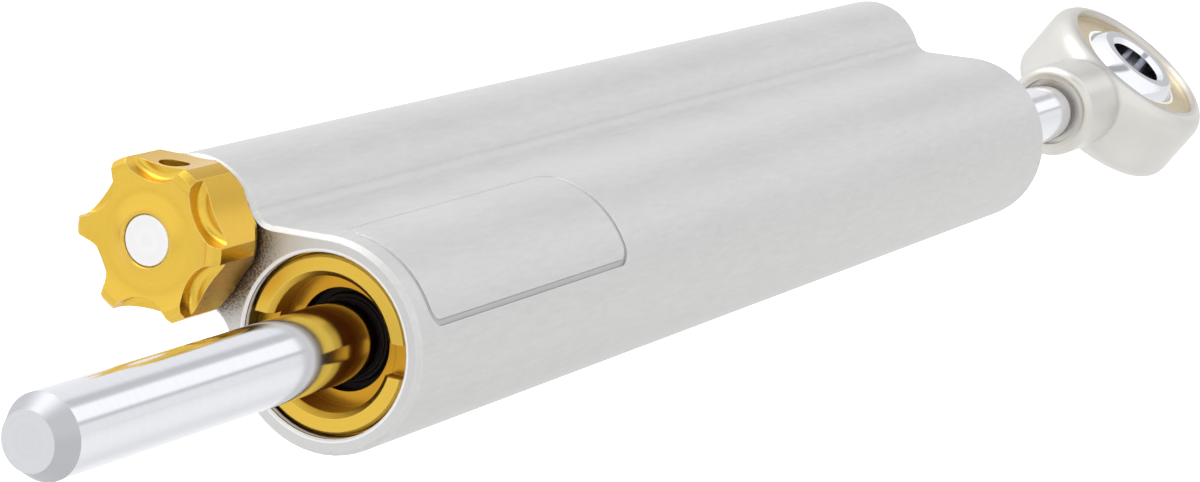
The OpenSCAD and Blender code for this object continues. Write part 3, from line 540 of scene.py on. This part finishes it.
class BodyFinish(bpy.types.Operator):
    """Blasts the body and anodises it clear"""

    bl_idname = "damper.body_finish"
    bl_label = "Body"

    def execute(self, context):
        wear(["body"], satin_material(context.scene.damper_finish))
        return {"FINISHED"}


class GlandFinish(bpy.types.Operator):
    """Anodises the lock rings and seal heads gold and fits black wipers"""

    bl_idname = "damper.gland_finish"
    bl_label = "Glands"

    def execute(self, context):
        finish = context.scene.damper_finish
        # the gland gold gets painted shade in its recesses
        gold = gold_material("gland_gold_finish", finish, ROD_AXIS, recess_shade=True)
        wear(["front_lock_ring", "front_seal_head", "rear_lock_ring", "rear_seal_head"], gold)
        wear(["front_wiper", "rear_wiper"], moulded_material("wiper_finish", finish, finish.rubber, 0.6))
        return {"FINISHED"}


class RodFinish(bpy.types.Operator):
    """Grinds and chromes the rod"""

    bl_idname = "damper.rod_finish"
    bl_label = "Rod"

    def execute(self, context):
        wear(["rod"], rod_material(context.scene.damper_finish))
        return {"FINISHED"}


class RodEndFinish(bpy.types.Operator):
    """Plates the rod end and finishes the bearing in its eye"""

    bl_idname = "damper.rod_end_finish"
    bl_label = "Rod end"

    def execute(self, context):
        finish = context.scene.damper_finish
        past_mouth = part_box("rod_end")[0].x + finish.soft_edge
        wear(["rod_end"], plain_metal("nickel_finish", finish, finish.nickel, 0.34, 0.06, past_mouth))
        wear(["bearing_race"], plain_metal("race_finish", finish, finish.race, 0.22, 0.10))
        wear(["bearing_liner"], moulded_material("liner_finish", finish, finish.liner, 0.5))
        wear(["bearing_ball"], plain_metal("ball_finish", finish, finish.chrome, 0.08, 0.04))
        return {"FINISHED"}


class KnobFinish(bpy.types.Operator):
    """Anodises the knob gold and finishes its spindle and grub screw"""

    bl_idname = "damper.knob_finish"
    bl_label = "Knob"

    def execute(self, context):
        finish = context.scene.damper_finish
        wear(["knob"], gold_material("knob_gold_finish", finish, SIDE_AXIS, milled=True))
        wear(["adjuster_spindle"], turned_metal("spindle_finish", finish, finish.spindle, 0.42, SIDE_AXIS))
        wear(["knob_screw"], plain_metal("screw_finish", finish, finish.steel, 0.35, 0.12))
        return {"FINISHED"}


class InnerFinish(bpy.types.Operator):
    """Finishes the pieces inside the tubes and the plug at the back"""

    bl_idname = "damper.inner_finish"
    bl_label = "Inner pieces"

    def execute(self, context):
        finish = context.scene.damper_finish
        rubber = moulded_material("seal_finish", finish, finish.rubber, 0.5)
        wear([name for name in frame["nodes"] if name.endswith(("_oring", "_rod_seal"))], rubber)
        bronze = turned_metal("bronze_finish", finish, finish.bronze, 0.35, ROD_AXIS)
        wear(["front_rod_bush", "rear_rod_bush", "piston_ring"], bronze)
        wear(["piston"], turned_metal("piston_finish", finish, finish.satin, 0.35, ROD_AXIS))
        wear(["floating_piston"], turned_metal("floater_finish", finish, finish.satin, 0.35, SIDE_AXIS))
        steel = plain_metal("steel_finish", finish, finish.steel, 0.32, 0.12)
        wear(["piston_clips", "spindle_clip", "fill_screw"], steel)
        wear(["detent_balls", "detent_springs", "metering_needle"], steel)
        brass = turned_metal("brass_finish", finish, finish.race, 0.32, SIDE_AXIS)
        wear(["adjuster_housing", "metering_jet"], brass)
        wear(["reservoir_plug"], gold_material("plug_gold_finish", finish, SIDE_AXIS))
        return {"FINISHED"}


def build_floor(stage):
    """Wide pale floor under the damper."""
    size = 6.0
    mesh = bpy.data.meshes.new("floor")
    corners = [(x * size, y * size, -stage.floor_at) for x, y in ((-1, -1), (1, -1), (1, 1), (-1, 1))]
    mesh.from_pydata(corners, [], [(0, 1, 2, 3)])
    floor = bpy.data.objects.new("floor", mesh)
    bpy.context.scene.collection.objects.link(floor)
    material, tree, shader = new_material("floor_finish", 0.0, 0.7)
    place = add_node(tree, "ShaderNodeTexCoord").outputs["Object"]
    colour = tuple(stage.floor_colour)
    pale = mix_colour(tree, noise(tree, place, 3.0), tuple(0.985 * c for c in colour), colour)
    seen = add_node(tree, "ShaderNodeLightPath").outputs["Is Camera Ray"]
    feed(tree, shader.inputs["Base Color"], pale)
    shader.inputs["Emission Color"].default_value = (1, 1, 1, 1)
    feed(tree, shader.inputs["Emission Strength"], math_node(tree, "MULTIPLY", seen, stage.floor_glow))
    mesh.materials.append(material)


def flag_mask(tree, direction):
    """Mask of a dark flag that hangs high on the -X side."""
    above = remap(tree, direction.outputs["Z"], 0.66, 0.72)
    below = remap(tree, direction.outputs["Z"], 0.88, 0.82)
    aside = remap(tree, direction.outputs["X"], -0.15, -0.3)
    return math_node(tree, "MULTIPLY", math_node(tree, "MULTIPLY", above, below), aside)


def build_sky(stage):
    """Even studio light, with darker bands for the rod to mirror."""
    world = bpy.data.worlds.new("studio")
    bpy.context.scene.world = world
    world.use_nodes = True
    tree = world.node_tree
    backdrop = tree.nodes["Background"]
    direction = add_node(tree, "ShaderNodeSeparateXYZ")
    feed(tree, direction.inputs[0], add_node(tree, "ShaderNodeTexCoord").outputs["Generated"])
    angle = math_node(tree, "ARCTAN2", direction.outputs["Z"], direction.outputs["Y"])
    turn = remap(tree, angle, -math.pi, math.pi)
    ramp = add_node(tree, "ShaderNodeValToRGB")
    ramp.color_ramp.interpolation = "EASE"
    # position round the X axis, as part of a turn, and level of light
    bands = [
        (0.50, 0.85), (0.72, 0.82), (0.77, 0.55), (0.80, 0.58),
        (0.83, 1.0), (0.91, 1.0), (0.935, 0.55), (0.96, 0.8),
    ]
    stops = ramp.color_ramp.elements
    stops.remove(stops[1])
    for at, level in bands:
        stop = stops.new(at)
        stop.color = (level, level, level * 1.02, 1)
    stops.remove(stops[0])
    feed(tree, ramp.inputs[0], turn)
    behind = remap(tree, direction.outputs["X"], 0.35, 0.7)
    flagged = mix_colour(tree, flag_mask(tree, direction), (1.0, 1.0, 1.01), (0.4, 0.4, 0.41))
    feed(tree, backdrop.inputs["Color"], mix_colour(tree, behind, flagged, ramp.outputs[0]))
    backdrop.inputs["Strength"].default_value = stage.sky
    white = add_node(tree, "ShaderNodeBackground")
    white.inputs["Color"].default_value = (1, 1, 1, 1)
    seen = add_node(tree, "ShaderNodeLightPath").outputs["Is Camera Ray"]
    choose = add_node(tree, "ShaderNodeMixShader")
    feed(tree, choose.inputs[0], seen)
    feed(tree, choose.inputs[1], backdrop.outputs[0])
    feed(tree, choose.inputs[2], white.outputs[0])
    feed(tree, tree.nodes["World Output"].inputs["Surface"], choose.outputs[0])


def add_softbox(name, at, target, size, power):
    light = bpy.data.lights.new(name, "AREA")
    light.shape = "RECTANGLE"
    light.size, light.size_y = size
    light.energy = power
    lamp = bpy.data.objects.new(name, light)
    lamp.location = at
    lamp.rotation_mode = "QUATERNION"
    lamp.rotation_quaternion = (Vector(target) - Vector(at)).to_track_quat("-Z", "Y")
    bpy.context.scene.collection.objects.link(lamp)


def add_camera(stage):
    lens = bpy.data.cameras.new("camera")
    lens.sensor_fit = "HORIZONTAL"
    lens.sensor_width = 36.0
    lens.lens = stage.lens
    lens.clip_start = 0.01
    camera = bpy.data.objects.new("camera", lens)
    camera.location = stage.camera_at
    level = math.cos(stage.pitch)
    ahead = Vector((level * math.cos(stage.heading), level * math.sin(stage.heading), -math.sin(stage.pitch)))
    camera.rotation_mode = "QUATERNION"
    camera.rotation_quaternion = ahead.to_track_quat("-Z", "Y")
    bpy.context.scene.collection.objects.link(camera)
    bpy.context.scene.camera = camera


class StageSetUp(bpy.types.Operator):
    """Lays the floor, hangs the lights and places the camera"""

    bl_idname = "damper.stage_set_up"
    bl_label = "Stage"

    def execute(self, context):
        stage = context.scene.damper_stage
        build_floor(stage)
        build_sky(stage)
        add_softbox("key", (-0.25, 0.25, 0.9), (0, 0, 0), (0.8, 0.8), stage.key_power)
        add_camera(stage)
        context.scene.view_settings.view_transform = "Standard"
        return {"FINISHED"}


class DamperPanel(bpy.types.Panel):
    """Lists the settings and the steps of the damper"""

    bl_idname = "VIEW3D_PT_damper"
    bl_label = "Steering damper"
    bl_space_type = "VIEW_3D"
    bl_region_type = "UI"
    bl_category = "Damper"

    def draw(self, context):
        for settings in (context.scene.damper_finish, context.scene.damper_stage):
            for name in settings.__annotations__:
                self.layout.prop(settings, name)
        for operator in OPERATORS:
            self.layout.operator(operator.bl_idname)


OPERATORS = (StageSetUp, BodyFinish, GlandFinish, RodFinish, RodEndFinish, KnobFinish, InnerFinish)
CLASSES = (DamperFinish, DamperStage, *OPERATORS, DamperPanel)


def register():
    for cls in CLASSES:
        bpy.utils.register_class(cls)
    bpy.types.Scene.damper_finish = bpy.props.PointerProperty(type=DamperFinish)
    bpy.types.Scene.damper_stage = bpy.props.PointerProperty(type=DamperStage)


def unregister():
    del bpy.types.Scene.damper_stage
    del bpy.types.Scene.damper_finish
    for cls in reversed(CLASSES):
        bpy.utils.unregister_class(cls)


def main():
    register()
    for operator in OPERATORS:
        group, name = operator.bl_idname.split(".")
        getattr(getattr(bpy.ops, group), name)()


if __name__ == "__main__":
    main()
